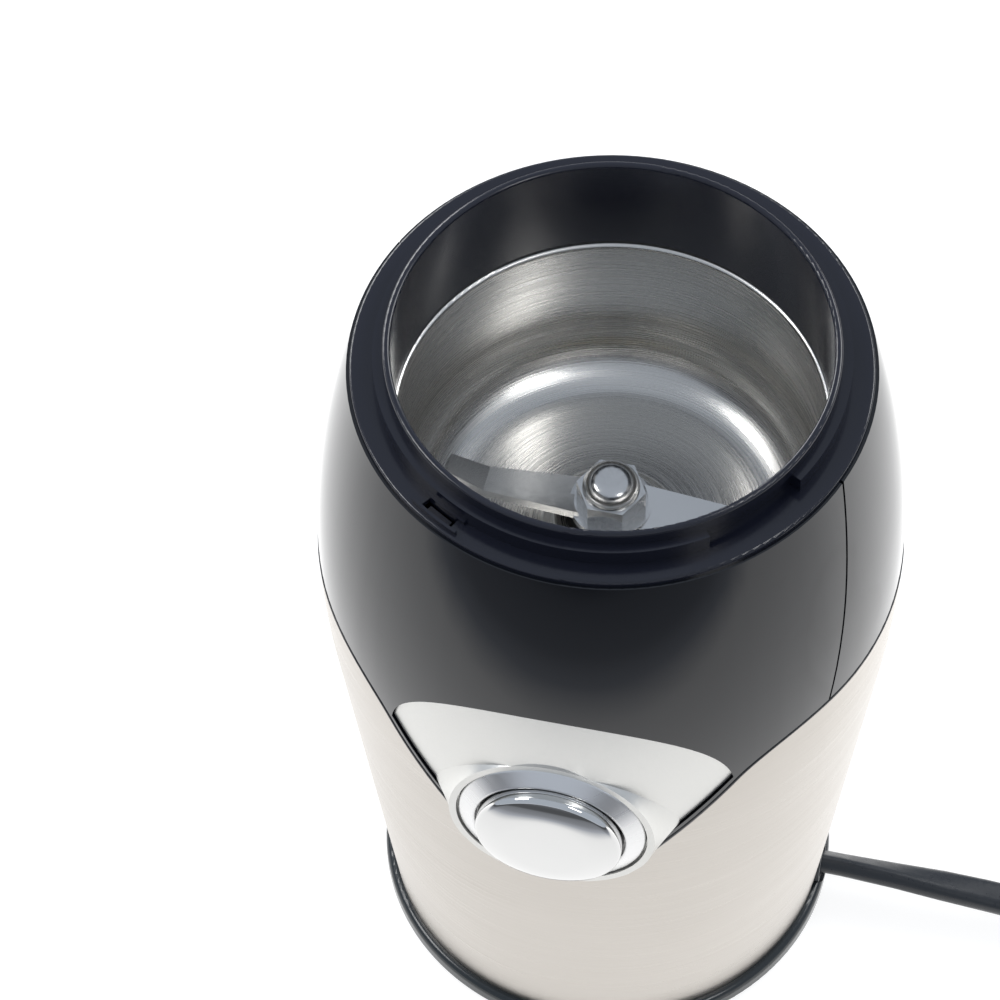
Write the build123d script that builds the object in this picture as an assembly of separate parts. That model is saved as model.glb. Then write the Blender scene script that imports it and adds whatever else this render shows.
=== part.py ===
# Blade coffee grinder with its lid off: barrel body, front push button, steel bowl and mains cord.
# Millimetres, +Z up, the front faces -Y, the cord leaves towards +X, origin on the floor under the axis.
from build123d import *
import math
import os

# Clearances and cuts
seat_gap = 0.1
slide_gap = 0.3
running_gap = 0.05
overrun = 5.0

# Outer form: one arc over shoulder and belly, then a straight cone to the foot
rim_height = 142.0
belly_radius = 46.65
belly_height_share = 0.6831
rim_drop = 5.99
cone_angle = 6.84

# Steel sleeve with its V notch at the front
sleeve_wall = 0.8
sleeve_foot_height = 4.0
parting_drop = 1.4
notch_slope_angle = 56.0
notch_round_radius = 17.5
notch_drop = 17.0
notch_flare_radius = 15.5

# Upper housing: gloss shells, the lap behind the sleeve, the seams and the inner ledge
housing_wall = 2.4
shadow_gap = 0.4
lap_gap = 0.25
lap_wall = 1.8
lap_width = 5.0
skirt_drop = 39.6
skirt_rise = 18.4
seam_depth_share = 0.523
seam_slant_angle = 11.3
seam_turn_angle = 22.0
seam_gap = 0.45
ledge_offset = 2.2
ledge_thickness = 2.5

# Collar: ledge for the lid, raised lip, bayonet rib with two gaps, and the interlock slot
lip_inset = 12.65
lip_wall = 1.2
lip_relief = 0.6
lip_height = 5.2
lip_rounding = 0.5
rim_width = 6.35
rim_thickness = 0.9
rim_rounding = 0.4
rib_depth = 1.6
rib_height = 2.9
rib_gap_angle = 27.0
rib_gap_middle = -41.5
collar_skirt_wall = 2.0
collar_skirt_depth = 13.3
slot_offset = 3.3
slot_width = 1.8
slot_angle = 9.0
slot_middle = -121.6
slot_rib_width = 0.5
slot_rib_height = 0.7
slot_rib_angle = 13.0

# Bowl and its gasket
gasket_thickness = 0.6
bowl_wall = 0.8
bowl_inset = 0.6
bowl_flange_width = 3.6
bowl_depth_share = 0.20915
bowl_corner_radius = 10.0
bowl_boss_radius = 9.0
bowl_boss_foot_radius = 11.0
bowl_boss_rise = 3.0
bowl_hole_radius = 7.0

# Chassis that carries bowl and motor
chassis_gap = 0.4
chassis_wall = 1.6
chassis_flange_width = 4.8
chassis_flange_thickness = 3.0
chassis_floor_drop = 11.5
chassis_floor_thickness = 2.5
chassis_hole_radius = 8.0
column_count = 3
column_first_angle = 90.0
column_radius = 2.8
column_inset = 6.53
chassis_vent_count = 6
chassis_vent_width = 5.0
chassis_vent_length = 10.0
chassis_vent_inset = 8.7
chassis_screw_radius = 1.2
chassis_screw_head_radius = 2.0
chassis_screw_head_height = 1.4
chassis_screw_length = 5.0
chassis_screw_offset = 3.0
chassis_screw_angles = (45.0, 135.0, 225.0, 315.0)

# Front panel with its raised boss
panel_wall = 1.1
panel_recess = 0.5
panel_border = 0.9
panel_gap = 0.25
arch_half_width = 27.6
arch_height = 23.1
arch_drop = 8.1
boss_foot_radius = 19.6
boss_top_radius = 16.6
boss_depth = 4.2
boss_rise = 0.5
boss_flank_radius = 9.0
dish_width = 4.0
dish_height = 1.0

# Bezel ring and push button on a level axis
button_drop = 16.0
bezel_seat_inset = 1.45
bezel_radius = 15.2
bezel_edge_height = 0.2
bezel_height = 2.1
bezel_flange_thickness = 1.0
bezel_edge_rounding = 0.7
bezel_inner_radius = 12.1
bezel_lip_depth = 0.6
bezel_tube_radius = 14.4
bezel_tube_wall = 0.9
button_radius = 11.8
button_edge_height = 1.9
button_crown = 3.4
button_edge_rounding = 1.4
button_flange_radius = 12.9
button_flange_thickness = 1.0
button_travel = 2.0
stem_radius = 2.6
button_spring_radius = 7.0
button_spring_wire_radius = 0.45
button_spring_half_turns = 8

# Switch behind the button
carrier_gap = 6.7
carrier_width_share = 0.8574
carrier_height = 26.0
carrier_thickness = 2.4
carrier_corner_radius = 6.0
carrier_screw_share = 0.76
carrier_screw_rise = 9.2
carrier_boss_radius = 3.0
carrier_screw_radius = 1.2
carrier_screw_head_radius = 2.3
carrier_screw_head_height = 1.6
carrier_screw_length = 3.5
switch_width = 20.0
switch_height = 6.4
switch_depth = 10.2
switch_edge_rounding = 0.6
plunger_radius = 1.4
plunger_length = 6.0
terminal_width = 4.8
terminal_thickness = 0.8
terminal_length = 7.0
terminal_spacing = 11.0

# Lid interlock under the slot
pin_width = 4.4
pin_top_drop = 0.8
pin_shoulder_share = 0.78873
pin_stem_radius = 1.0
pin_stem_length = 7.0
pin_travel = 3.0
interlock_gap = 6.0
interlock_switch_depth = 5.2
interlock_switch_width = 12.0
interlock_switch_height = 9.0
interlock_shelf_margin = 0.4
interlock_shelf_thickness = 2.0
interlock_shelf_angle = 20.0
interlock_spring_radius = 1.75
interlock_spring_wire_radius = 0.25
interlock_spring_half_turns = 8

# Blade and shaft
shaft_radius = 3.0
shaft_thread = 5.5
blade_lift = 5.5
blade_thickness = 1.4
blade_tip_gap = 5.9
blade_root_width = 8.4
blade_tip_width = 5.6
blade_pitch_angle = 12.0
blade_hub_radius = 6.6
blade_tip_length = 7.0
blade_tip_bend_angle = 24.0
spacer_radius = 5.0
spacer_height = 2.1
nut_radius = 5.6
nut_hex_height = 4.0
nut_dome_radius = 4.6
nut_dome_height = 2.8
seal_radius = 6.9
seal_flange_radius = 8.2
seal_height = 2.8
seal_top_drop = 0.1

# Motor: widths as shares of the stator's radius, heights as shares of the room under the chassis floor
motor_gap = 0.4
air_gap = 0.6
stator_half_depth_share = 0.9444
stator_bore_share = 0.5704
field_coil_middle_share = 0.7222
field_coil_section_share = 0.2037
field_coil_width_share = 1.1111
field_coil_corner_share = 0.1852
field_coil_overhang_share = 0.875
armature_slot_count = 8
armature_slot_width = 2.2
armature_slot_share = 0.34
winding_share = 0.85
commutator_share = 0.3333
commutator_bar_count = 16
commutator_slot_width = 0.6
commutator_slot_depth = 1.0
bearing_radius = 6.4
bearing_boss_radius = 9.0
bracket_plate_thickness = 2.0
bracket_plate_gap = 2.0
bracket_half_depth_share = 0.4074
bracket_leg_share = 0.1481
lower_bracket_height = 2.5
lower_boss_share = 0.9167
lower_vent_count = 8
lower_vent_share = 0.1111
lower_vent_circle_share = 0.6852
damper_radius = 4.0
damper_inset = 7.0
damper_depth_share = 0.5909
motor_screw_radius = 1.5
motor_screw_head_radius = 3.0
motor_screw_head_height = 2.0
brush_holder_gap = 2.0
brush_holder_share = 1.125
brush_holder_wall_share = 0.18
brush_gap = 0.35
brush_tail_gap = 3.0
shaft_low_share = 0.2093
lower_bracket_low_share = 0.2326
commutator_low_share = 0.3023
commutator_high_share = 0.3953
stack_low_share = 0.4884
stack_high_share = 0.7674
upper_bearing_low_share = 0.8837

# Base ring, base plate and feet, measured from the sleeve's foot
base_ring_proud = 1.42
base_ring_low = 0.8
base_ring_rounding = 1.2
base_plate_inset = 3.83
base_plate_low = 1.0
base_plate_top = 3.4
base_flange_inset = 9.73
base_flange_top = 5.2
base_upstand_inset = 2.13
base_upstand_wall = 1.2
base_upstand_top = 11.0
base_edge_rounding = 0.5
foot_count = 4
foot_first_angle = 45.0
foot_radius = 4.6
foot_height = 2.0
foot_inset = 7.9
foot_edge_rounding = 0.4
base_vent_count = 10
base_vent_width = 2.2
base_vent_length_share = 0.2736
base_vent_circle_share = 0.4103
base_screw_radius = 1.5
base_screw_head_radius = 2.3
base_screw_head_height = 1.1
base_screw_length = 15.0

# Cord: exit, clamp, route, coil and plug
cord_radius = 2.8
cord_exit_height = 6.3
grommet_wall = 0.8
grommet_recess = 0.65
clamp_inset = 4.5
clamp_length = 5.0
clamp_width = 22.0
clamp_height = 3.2
clamp_boss_top = 7.0
clamp_boss_radius = 2.7
clamp_screw_spacing = 16.0
clamp_screw_radius = 1.2
clamp_screw_head_radius = 2.4
clamp_screw_head_height = 1.5
tie_wall = 0.8
tie_gap = 0.15
tie_width = 9.0
tie_side_gap = 0.6
lead_bend = 54.8
lead_turn = 90.2
swerve_run = 18.0
swerve_angle = 25.0
coil_outer_radius = 34.0
coil_step = 3.05
coil_turn_steps = (0, 1, 2, 3, 4.4, 2, 1, 0)
coil_floor_half_turns = 3
coil_layer_rise = 6.1
tail_first_run = 10.0
tail_fall_run = 11.0
tail_last_run = 9.4
bend_run_share = 0.45
plug_half_height = 6.85
plug_length = 35.0
plug_neck_length = 9.0
plug_neck_radius = 4.4
plug_waist_half_width = 6.0
plug_half_width = 16.5
plug_face_half_width = 14.5
plug_rounding = 2.4
plug_pin_radius = 2.0
plug_pin_length = 19.0
plug_pin_spacing = 18.6

# Heights that follow, from the rim down
belly_height = rim_height * belly_height_share
belly_arc_radius = ((rim_height - belly_height) ** 2 + rim_drop**2) / (2 * rim_drop)
cone_slope = math.radians(cone_angle)
parting_height = belly_height - parting_drop
notch_round_height = parting_height - notch_drop
button_height = parting_height - button_drop
arch_base_height = parting_height - arch_drop
skirt_low_height = parting_height - skirt_drop
skirt_high_height = parting_height + skirt_rise
lip_top = rim_height + lip_height
seat_height = rim_height - rim_thickness
gasket_high = seat_height - collar_skirt_depth
flange_high = gasket_high - gasket_thickness
flange_low = flange_high - bowl_wall
bowl_floor = flange_high - rim_height * bowl_depth_share
blade_height = bowl_floor + blade_lift
shaft_high = blade_height + shaft_thread
chassis_flange_low = flange_low - chassis_flange_thickness
chassis_floor_low = bowl_floor - chassis_floor_drop
pin_shoulder_height = rim_height * pin_shoulder_share
interlock_switch_high = pin_shoulder_height - interlock_gap
interlock_switch_low = interlock_switch_high - interlock_switch_height
bracket_high = chassis_floor_low - bracket_plate_gap
upper_bearing_low = chassis_floor_low * upper_bearing_low_share
stack_high = chassis_floor_low * stack_high_share
stack_low = chassis_floor_low * stack_low_share
commutator_high = chassis_floor_low * commutator_high_share
commutator_low = chassis_floor_low * commutator_low_share
lower_bracket_low = chassis_floor_low * lower_bracket_low_share
shaft_low = chassis_floor_low * shaft_low_share
lower_boss_height = (commutator_low - lower_bracket_low) * lower_boss_share
winding_height = (stack_low - commutator_high) * winding_share
field_coil_height = stack_high - stack_low + 2 * (stack_low - commutator_high) * field_coil_overhang_share
brush_holder_width = (commutator_high - commutator_low) * brush_holder_share
brush_holder_wall = brush_holder_width * brush_holder_wall_share

# Radii that follow, at the collar
lip_inner_radius = belly_radius - lip_inset
lip_outer_radius = lip_inner_radius + lip_wall
rib_radius = lip_outer_radius + rib_depth
rim_radius = lip_inner_radius + rim_width
collar_skirt_radius = lip_inner_radius + collar_skirt_wall
slot_inner_radius = lip_inner_radius + slot_offset
slot_outer_radius = slot_inner_radius + slot_width
pin_inner_radius = slot_inner_radius + slide_gap
pin_outer_radius = slot_outer_radius - slide_gap
bowl_radius = lip_inner_radius - bowl_inset
bowl_flange_radius = bowl_radius + bowl_flange_width
blade_reach = bowl_radius - blade_tip_gap
chassis_radius = bowl_radius + bowl_wall + chassis_gap + chassis_wall
chassis_flange_radius = chassis_radius + chassis_flange_width
chassis_vent_circle_radius = chassis_radius - chassis_vent_inset
chassis_screw_circle_radius = chassis_radius + chassis_screw_offset
ledge_radius = chassis_radius + ledge_offset
interlock_switch_inner = chassis_radius + 2 * seat_gap
interlock_shelf_radius = interlock_switch_inner + interlock_switch_depth + interlock_shelf_margin
seam_depth = belly_radius * seam_depth_share

# Depths that follow, behind the button
bezel_seat_depth = belly_radius - bezel_seat_inset
bezel_foot = bezel_edge_height - bezel_flange_thickness
panel_depth = panel_recess + panel_wall
carrier_front = -bezel_seat_depth + bezel_lip_depth + slide_gap + button_flange_thickness + carrier_gap
carrier_back = carrier_front + carrier_thickness
carrier_width = belly_radius * carrier_width_share
carrier_screw_x = carrier_width / 2 * carrier_screw_share
stem_end_depth = carrier_back - button_travel - slide_gap


def body_radius(z, inset=0):
    """Radius of the outer form at a height, moved inward square to its surface by inset."""
    arc = belly_arc_radius - inset
    middle = belly_radius - belly_arc_radius
    tangent = belly_height - arc * math.sin(cone_slope)
    if z >= tangent:
        return middle + math.sqrt(arc**2 - (z - belly_height) ** 2)
    return middle + arc * math.cos(cone_slope) - (tangent - z) * math.tan(cone_slope)


# Radii that follow, at the foot
sleeve_foot_radius = body_radius(sleeve_foot_height)
base_ring_radius = sleeve_foot_radius + base_ring_proud
base_plate_radius = sleeve_foot_radius - base_plate_inset
base_flange_radius = sleeve_foot_radius - base_flange_inset
base_upstand_outer = sleeve_foot_radius - base_upstand_inset
base_upstand_inner = base_upstand_outer - base_upstand_wall
foot_circle_radius = base_plate_radius - foot_inset
base_vent_circle_radius = base_plate_radius * base_vent_circle_share
base_vent_length = base_plate_radius * base_vent_length_share
column_circle_radius = sleeve_foot_radius - column_inset
grommet_radius = cord_radius + seat_gap + grommet_wall
grommet_inner_end = base_upstand_inner - 2 * seat_gap
grommet_outer_end = base_ring_radius - grommet_recess
clamp_middle = base_flange_radius - clamp_inset
lead_start = clamp_middle - clamp_length / 2 - 5 * seat_gap

# Radii that follow, in the motor
stator_radius = column_circle_radius - column_radius - motor_gap
stator_half_depth = stator_radius * stator_half_depth_share
stator_bore_radius = stator_radius * stator_bore_share
field_coil_middle = stator_radius * field_coil_middle_share
field_coil_section = stator_radius * field_coil_section_share
field_coil_thickness = field_coil_section
field_coil_width = stator_radius * field_coil_width_share
field_coil_corner_radius = stator_radius * field_coil_corner_share
armature_radius = stator_bore_radius - air_gap
armature_slot_depth = armature_radius * armature_slot_share
winding_radius = armature_radius * winding_share
winding_rounding = winding_height * armature_slot_share
commutator_radius = stator_radius * commutator_share
bracket_half_depth = stator_radius * bracket_half_depth_share
bracket_leg_thickness = stator_radius * bracket_leg_share
lower_vent_radius = stator_radius * lower_vent_share
lower_vent_circle_radius = stator_radius * lower_vent_circle_share
damper_spacing_x = 2 * (stator_radius - damper_inset)
damper_spacing_y = 2 * bracket_half_depth * damper_depth_share
brush_holder_inner = commutator_radius + brush_holder_gap
brush_holder_outer = stator_radius - brush_holder_gap
brush_length = brush_holder_outer - brush_holder_inner - brush_tail_gap
coil_low = cord_radius + tie_wall + tie_gap
coil_high = coil_low + coil_layer_rise

# Route of the lead from the clamp to the coil: straight out, down to the floor, then aside in two bends
swerve = math.radians(swerve_angle)
slant_run = (coil_outer_radius - 2 * swerve_run * math.sin(swerve)) / math.sin(2 * swerve)
cord_route = [
    (lead_start, 0, cord_exit_height),
    (lead_bend, 0, cord_exit_height),
    (lead_turn, 0, coil_low),
]
for run, heading in ((swerve_run, swerve), (slant_run, 2 * swerve), (swerve_run, swerve), (swerve_run, 0)):
    x, y, z = cord_route[-1]
    cord_route.append((x + run * math.cos(heading), y - run * math.sin(heading), z))
coil_middle_x = cord_route[-1][0] + 2 * cord_radius

# Route of the tail: on from the coil's end and down to the plug, back beside the lead
tail_heading = 1 if len(coil_turn_steps) % 2 == 1 else -1
tail_y = -tail_heading * (coil_outer_radius - coil_turn_steps[-1] * coil_step)
tail_route = [(coil_middle_x + tail_heading * 2 * cord_radius, tail_y, coil_high)]
for run, height in ((tail_first_run, coil_high), (tail_fall_run, plug_half_height),
                    (tail_last_run, plug_half_height)):
    tail_route.append((tail_route[-1][0] + tail_heading * run, tail_y, height))


def upright(radius, low, high, x=0, y=0):
    """Round bar along Z."""
    return Pos(x, y, (low + high) / 2) * Cylinder(radius, high - low)


def along_x(radius, start, end, y, z):
    """Round bar along X."""
    return Pos((start + end) / 2, y, z) * Rot(0, 90, 0) * Cylinder(radius, end - start)


def along_y(radius, start, end, x, z):
    """Round bar along Y."""
    return Pos(x, (start + end) / 2, z) * Rot(90, 0, 0) * Cylinder(radius, end - start)


def block(low, high):
    """Box between two corners."""
    size = [b - a for a, b in zip(low, high)]
    middle = [(a + b) / 2 for a, b in zip(low, high)]
    return Pos(*middle) * Box(*size)


def turned(points, radii):
    """Solid of revolution about Z from (radius, height) corners, each with its rounding."""
    outline = FilletPolyline(*points, radius=radii, close=True)
    return revolve(Plane.XZ * make_face(outline), Axis.Z)


def ring(inner, outer, low, high):
    """Plain ring about Z."""
    return turned([(inner, low), (outer, low), (outer, high), (inner, high)], 0)


def sector(inner, outer, low, high, middle, width):
    """Part of a ring about Z, width degrees wide."""
    outline = Polyline((inner, low), (outer, low), (outer, high), (inner, high), close=True)
    piece = revolve(Plane.XZ * make_face(outline), Axis.Z, width)
    return Rot(0, 0, middle - width / 2) * piece


def around(radius, count, first):
    """Places evenly spaced on a circle about Z."""
    angles = [math.radians(first + 360 * k / count) for k in range(count)]
    return [(radius * math.cos(a), radius * math.sin(a)) for a in angles]


def form_edges(low, high, inset):
    """Outline of the outer form between two heights: cone line, then belly arc."""
    tangent = belly_height - (belly_arc_radius - inset) * math.sin(cone_slope)
    place = lambda z: (body_radius(z, inset), z)
    edges = []
    if low < tangent:
        edges.append(Line(place(low), place(min(tangent, high))))
    if high > tangent:
        start = max(low, tangent)
        edges.append(ThreePointArc(place(start), place((start + high) / 2), place(high)))
    return edges


def form_shell(low, high, inset, wall):
    """Shell of the outer form between two heights."""
    outer = form_edges(low, high, inset)
    inner = form_edges(low, high, inset + wall)
    ends = [Line((body_radius(z, inset), z), (body_radius(z, inset + wall), z)) for z in (low, high)]
    return revolve(Plane.XZ * make_face(outer + inner + ends), Axis.Z)


def form_solid(low, high, inset):
    """Solid inside the outer form between two heights."""
    edges = form_edges(low, high, inset)
    rest = Polyline((body_radius(low, inset), low), (0, low), (0, high), (body_radius(high, inset), high))
    return revolve(Plane.XZ * make_face(edges + rest.edges()), Axis.Z)


def front_prism(face):
    """An outline drawn on the front view, run out through the front wall."""
    return extrude(Plane.XZ * face, amount=belly_radius + overrun)


def notch_outline(gap):
    """Front view of all that lies above the sleeve's edge with its V, the edge moved in by gap."""
    slope = math.radians(notch_slope_angle)
    edge = parting_height + gap
    bottom = notch_round_radius - gap
    apex = notch_round_height - bottom / math.cos(slope)
    corner = (edge - apex) / math.tan(slope)
    side = belly_radius + overrun
    points = [(-side, edge), (-corner, edge), (0, apex), (corner, edge), (side, edge)]
    points += [(side, rim_height), (-side, rim_height)]
    flare = notch_flare_radius + gap
    return make_face(FilletPolyline(*points, radius=[0, flare, bottom, flare, 0, 0, 0], close=True))


def panel_outline(notch_gap, arch_gap):
    """Front view of the panel: the V below, an elliptic arch above."""
    arch = Pos(0, arch_base_height) * Ellipse(arch_half_width - arch_gap, arch_height - arch_gap)
    below = Pos(0, arch_base_height - arch_height) * Rectangle(2 * (arch_half_width - arch_gap),
                                                               2 * arch_height)
    return (arch + below) & notch_outline(notch_gap)


def above_notch(shell, gap):
    """Takes away what lies below the sleeve's edge."""
    under = upright(belly_radius + overrun, 0, parting_height + gap)
    return shell - (under - front_prism(notch_outline(gap)))


button_plane = Plane(origin=(0, -bezel_seat_depth, button_height), x_dir=(1, 0, 0), z_dir=(0, -1, 0))
pin_radius = (pin_inner_radius + pin_outer_radius) / 2
column_places = around(column_circle_radius, column_count, column_first_angle)
damper_places = [
    (x * damper_spacing_x / 2, y * damper_spacing_y / 2) for x in (-1, 1) for y in (-1, 1)
]
carrier_screw_places = [
    (side * carrier_screw_x, button_height + side * carrier_screw_rise) for side in (-1, 1)
]
chassis_screw_places = [around(chassis_screw_circle_radius, 1, a)[0] for a in chassis_screw_angles]


def cord_way(radius):
    """Clear way of the cord through the base."""
    return along_x(radius, base_flange_radius - overrun, base_ring_radius + overrun, 0, cord_exit_height)


def steel_body():
    shell = form_shell(sleeve_foot_height, parting_height, 0, sleeve_wall)
    return shell - front_prism(notch_outline(0)) - cord_way(grommet_radius + seat_gap)


def upper_housing():
    skin = above_notch(form_shell(skirt_low_height, seat_height, 0, housing_wall), shadow_gap)
    lap = form_shell(skirt_low_height, skirt_high_height, sleeve_wall + lap_gap, lap_wall)
    lap = above_notch(lap, -lap_width)
    ledge_low = chassis_flange_low - ledge_thickness
    ledge = turned(
        [
            (ledge_radius, ledge_low),
            (body_radius(ledge_low, housing_wall / 2), ledge_low),
            (body_radius(chassis_flange_low, housing_wall / 2), chassis_flange_low),
            (ledge_radius, chassis_flange_low),
        ],
        0,
    )
    shell = skin + lap + ledge
    pocket = form_shell(skirt_low_height, skirt_high_height, -panel_gap, panel_depth + seat_gap + panel_gap)
    shell -= pocket & front_prism(panel_outline(shadow_gap + panel_border, 0))
    core = form_solid(skirt_low_height, skirt_high_height, sleeve_wall + lap_gap + lap_wall / 2)
    for x, z in carrier_screw_places:
        shell += core & along_y(carrier_boss_radius, -belly_radius, carrier_front, x, z)
        shell -= along_y(carrier_screw_radius + running_gap, carrier_front - carrier_screw_length,
                         carrier_front + overrun, x, z)
    hole = bezel_tube_radius + seat_gap
    shell -= along_y(hole, -belly_radius - overrun, -stator_radius, 0, button_height)
    shell -= button_plane * upright(bezel_radius + panel_gap, bezel_foot - seat_gap, overrun)
    for x, y in chassis_screw_places:
        shell -= upright(chassis_screw_radius + running_gap, ledge_low - overrun, chassis_flange_low, x, y)
    shell -= sector(slot_inner_radius, slot_outer_radius, ledge_low - overrun, rim_height, slot_middle,
                    slot_angle)
    return shell


def seam_side(shift):
    """All that lies in front of the seam plane, moved back by shift; the plane leans and is turned about
    its right-hand end, so the left-hand seam lies further back."""
    lean = math.tan(math.radians(seam_slant_angle))
    at = lambda z: -seam_depth + shift + (z - parting_height) * lean
    far = -3 * belly_radius
    points = [(far, 0), (at(0), 0), (at(lip_top), lip_top), (far, lip_top)]
    front = extrude(Plane.YZ * make_face(Polyline(*points, close=True)), amount=3 * belly_radius, both=True)
    pivot = (math.sqrt(belly_radius**2 - seam_depth**2), -seam_depth)
    return Pos(*pivot) * Rot(0, 0, -seam_turn_angle) * Pos(-pivot[0], -pivot[1]) * front


def boss_form():
    """Raised seat of the bezel: a flat rim with a hollow flank that runs out into the panel."""
    rim = (boss_top_radius, boss_rise)
    foot = (boss_foot_radius, -boss_depth)
    axis = Polyline(foot, (0, -boss_depth), (0, boss_rise), rim)
    flank = RadiusArc(foot, rim, boss_flank_radius)
    return button_plane * revolve(Plane.XZ * make_face(axis.edges() + [flank]), Axis.Z)


def switch_panel():
    plate = form_shell(skirt_low_height, skirt_high_height, panel_recess, panel_wall)
    dish = Cone(boss_top_radius, boss_top_radius + dish_width, dish_height)
    plate -= button_plane * Pos(0, 0, boss_rise + dish_height / 2) * dish
    plate += boss_form() - form_shell(skirt_low_height, skirt_high_height, panel_depth, belly_radius / 2)
    plate &= front_prism(panel_outline(shadow_gap + panel_border + panel_gap, panel_gap))
    plate -= button_plane * upright(bezel_radius + panel_gap, bezel_foot, overrun)
    return plate - button_plane * upright(bezel_tube_radius + seat_gap, -overrun - boss_depth, overrun)


def button_bezel():
    tube_end = -bezel_seat_depth - carrier_front
    tube_inner = bezel_tube_radius - bezel_tube_wall
    points = [
        (bezel_inner_radius, -bezel_lip_depth),
        (bezel_inner_radius, bezel_height),
        (bezel_radius, bezel_edge_height),
        (bezel_radius, bezel_foot),
        (bezel_tube_radius, bezel_foot),
        (bezel_tube_radius, tube_end),
        (tube_inner, tube_end),
        (tube_inner, -bezel_lip_depth),
    ]
    rounding = [0, bezel_edge_rounding / 2, bezel_edge_rounding, 0, 0, 0, 0, 0]
    return button_plane * turned(points, rounding)


def power_button():
    flange_top = -bezel_lip_depth - seat_gap
    flange_foot = flange_top - button_flange_thickness
    stem_end = -bezel_seat_depth - stem_end_depth
    crown = button_edge_height + button_crown
    dome_radius = (button_radius**2 + button_crown**2) / (2 * button_crown)
    side = Polyline(
        (0, crown),
        (0, stem_end),
        (stem_radius, stem_end),
        (stem_radius, flange_foot),
        (button_flange_radius, flange_foot),
        (button_flange_radius, flange_top),
        (button_radius, flange_top),
        (button_radius, button_edge_height),
    )
    half_way = button_radius / 2
    drop = dome_radius - math.sqrt(dome_radius**2 - half_way**2)
    dome = ThreePointArc((button_radius, button_edge_height), (half_way, crown - drop), (0, crown))
    face = make_face(side.edges() + [dome])
    rim = face.vertices().sort_by_distance((button_radius, button_edge_height))[0]
    return button_plane * revolve(Plane.XZ * fillet(rim, button_edge_rounding), Axis.Z)


def half_turn(start, end, heading):
    """Two tangent arcs that turn a line right round from start to end."""
    across = end - start
    middle = (start + end) / 2 + heading * (across.length / 2)
    return [TangentArc(start, middle, tangent=heading), TangentArc(middle, end, tangent=across)]


def tube(path, radius):
    """Round section run along a path."""
    return sweep(Plane(origin=path @ 0, z_dir=path % 0) * Circle(radius), path=path)


def spring(radius, wire_radius, low, high, half_turns):
    """Wire spring about Z between two end faces."""
    rise = (high - low - 2 * wire_radius) / half_turns
    edges = []
    for k in range(half_turns):
        side = 1 if k % 2 == 0 else -1
        start = Vector(side * radius, 0, low + wire_radius + k * rise)
        end = Vector(-side * radius, 0, low + wire_radius + (k + 1) * rise)
        edges += half_turn(start, end, Vector(0, side, 0))
    return tube(Wire(edges), wire_radius)


def button_spring():
    high = -bezel_lip_depth - seat_gap - button_flange_thickness - seat_gap
    low = -bezel_seat_depth - carrier_front + seat_gap
    return button_plane * spring(button_spring_radius, button_spring_wire_radius, low, high,
                                 button_spring_half_turns)


def switch_carrier():
    plate = extrude(Plane.XZ * RectangleRounded(carrier_width, carrier_height, carrier_corner_radius),
                    amount=-carrier_thickness)
    plate = Pos(0, carrier_front, button_height) * plate
    plate -= along_y(stem_radius + slide_gap, carrier_front - overrun, carrier_back + overrun, 0,
                     button_height)
    for x, z in carrier_screw_places:
        plate -= along_y(carrier_screw_radius + running_gap, carrier_front - overrun,
                         carrier_back + overrun, x, z)
    return plate


def carrier_screws():
    screws = Part()
    for x, z in carrier_screw_places:
        screws += along_y(carrier_screw_head_radius, carrier_back,
                          carrier_back + carrier_screw_head_height, x, z)
        screws += along_y(carrier_screw_radius, carrier_front - carrier_screw_length + seat_gap,
                          carrier_back, x, z)
    return screws


def power_switch():
    low = (-switch_width / 2, carrier_back, button_height - switch_height / 2)
    high = (switch_width / 2, carrier_back + switch_depth, button_height + switch_height / 2)
    body = fillet(block(low, high).edges(), switch_edge_rounding)
    for side in (-1, 1):
        x = side * terminal_spacing / 2
        corner = (x - terminal_thickness / 2, high[1] - overrun / 2, button_height - terminal_width / 2)
        body += block(corner,
                      (x + terminal_thickness / 2, high[1] + terminal_length,
                       button_height + terminal_width / 2))
    return body - along_y(plunger_radius + slide_gap, carrier_back - overrun,
                          stem_end_depth + plunger_length + button_travel + 2 * slide_gap, 0, button_height)


def switch_plunger():
    front = stem_end_depth + seat_gap
    return along_y(plunger_radius, front, front + plunger_length, 0, button_height)


def collar_ring():
    points = [
        (lip_inner_radius, gasket_high),
        (collar_skirt_radius, gasket_high),
        (collar_skirt_radius, seat_height),
        (rim_radius, seat_height),
        (rim_radius, rim_height),
        (lip_outer_radius - lip_relief, rim_height),
        (lip_outer_radius - lip_relief, rim_height + rib_height),
        (lip_outer_radius, rim_height + rib_height),
        (lip_outer_radius, lip_top),
        (lip_inner_radius, lip_top),
    ]
    collar = turned(points, [0, 0, 0, 0, rim_rounding, 0, 0, 0, lip_rounding, lip_rounding])
    rooted = rim_height - rim_thickness / 2
    for turn in (90, 270):
        collar += sector((lip_inner_radius + lip_outer_radius) / 2, rib_radius, rooted,
                         rim_height + rib_height,
                         rib_gap_middle + turn, 180 - rib_gap_angle)
    for inner in (slot_inner_radius - slot_rib_width, slot_outer_radius):
        collar += sector(inner, inner + slot_rib_width, rooted, rim_height + slot_rib_height,
                         slot_middle, slot_rib_angle)
    return collar - sector(slot_inner_radius, slot_outer_radius, seat_height - overrun, lip_top,
                           slot_middle, slot_angle)


def bowl_gasket():
    return ring(lip_inner_radius, collar_skirt_radius, flange_high, gasket_high)


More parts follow.
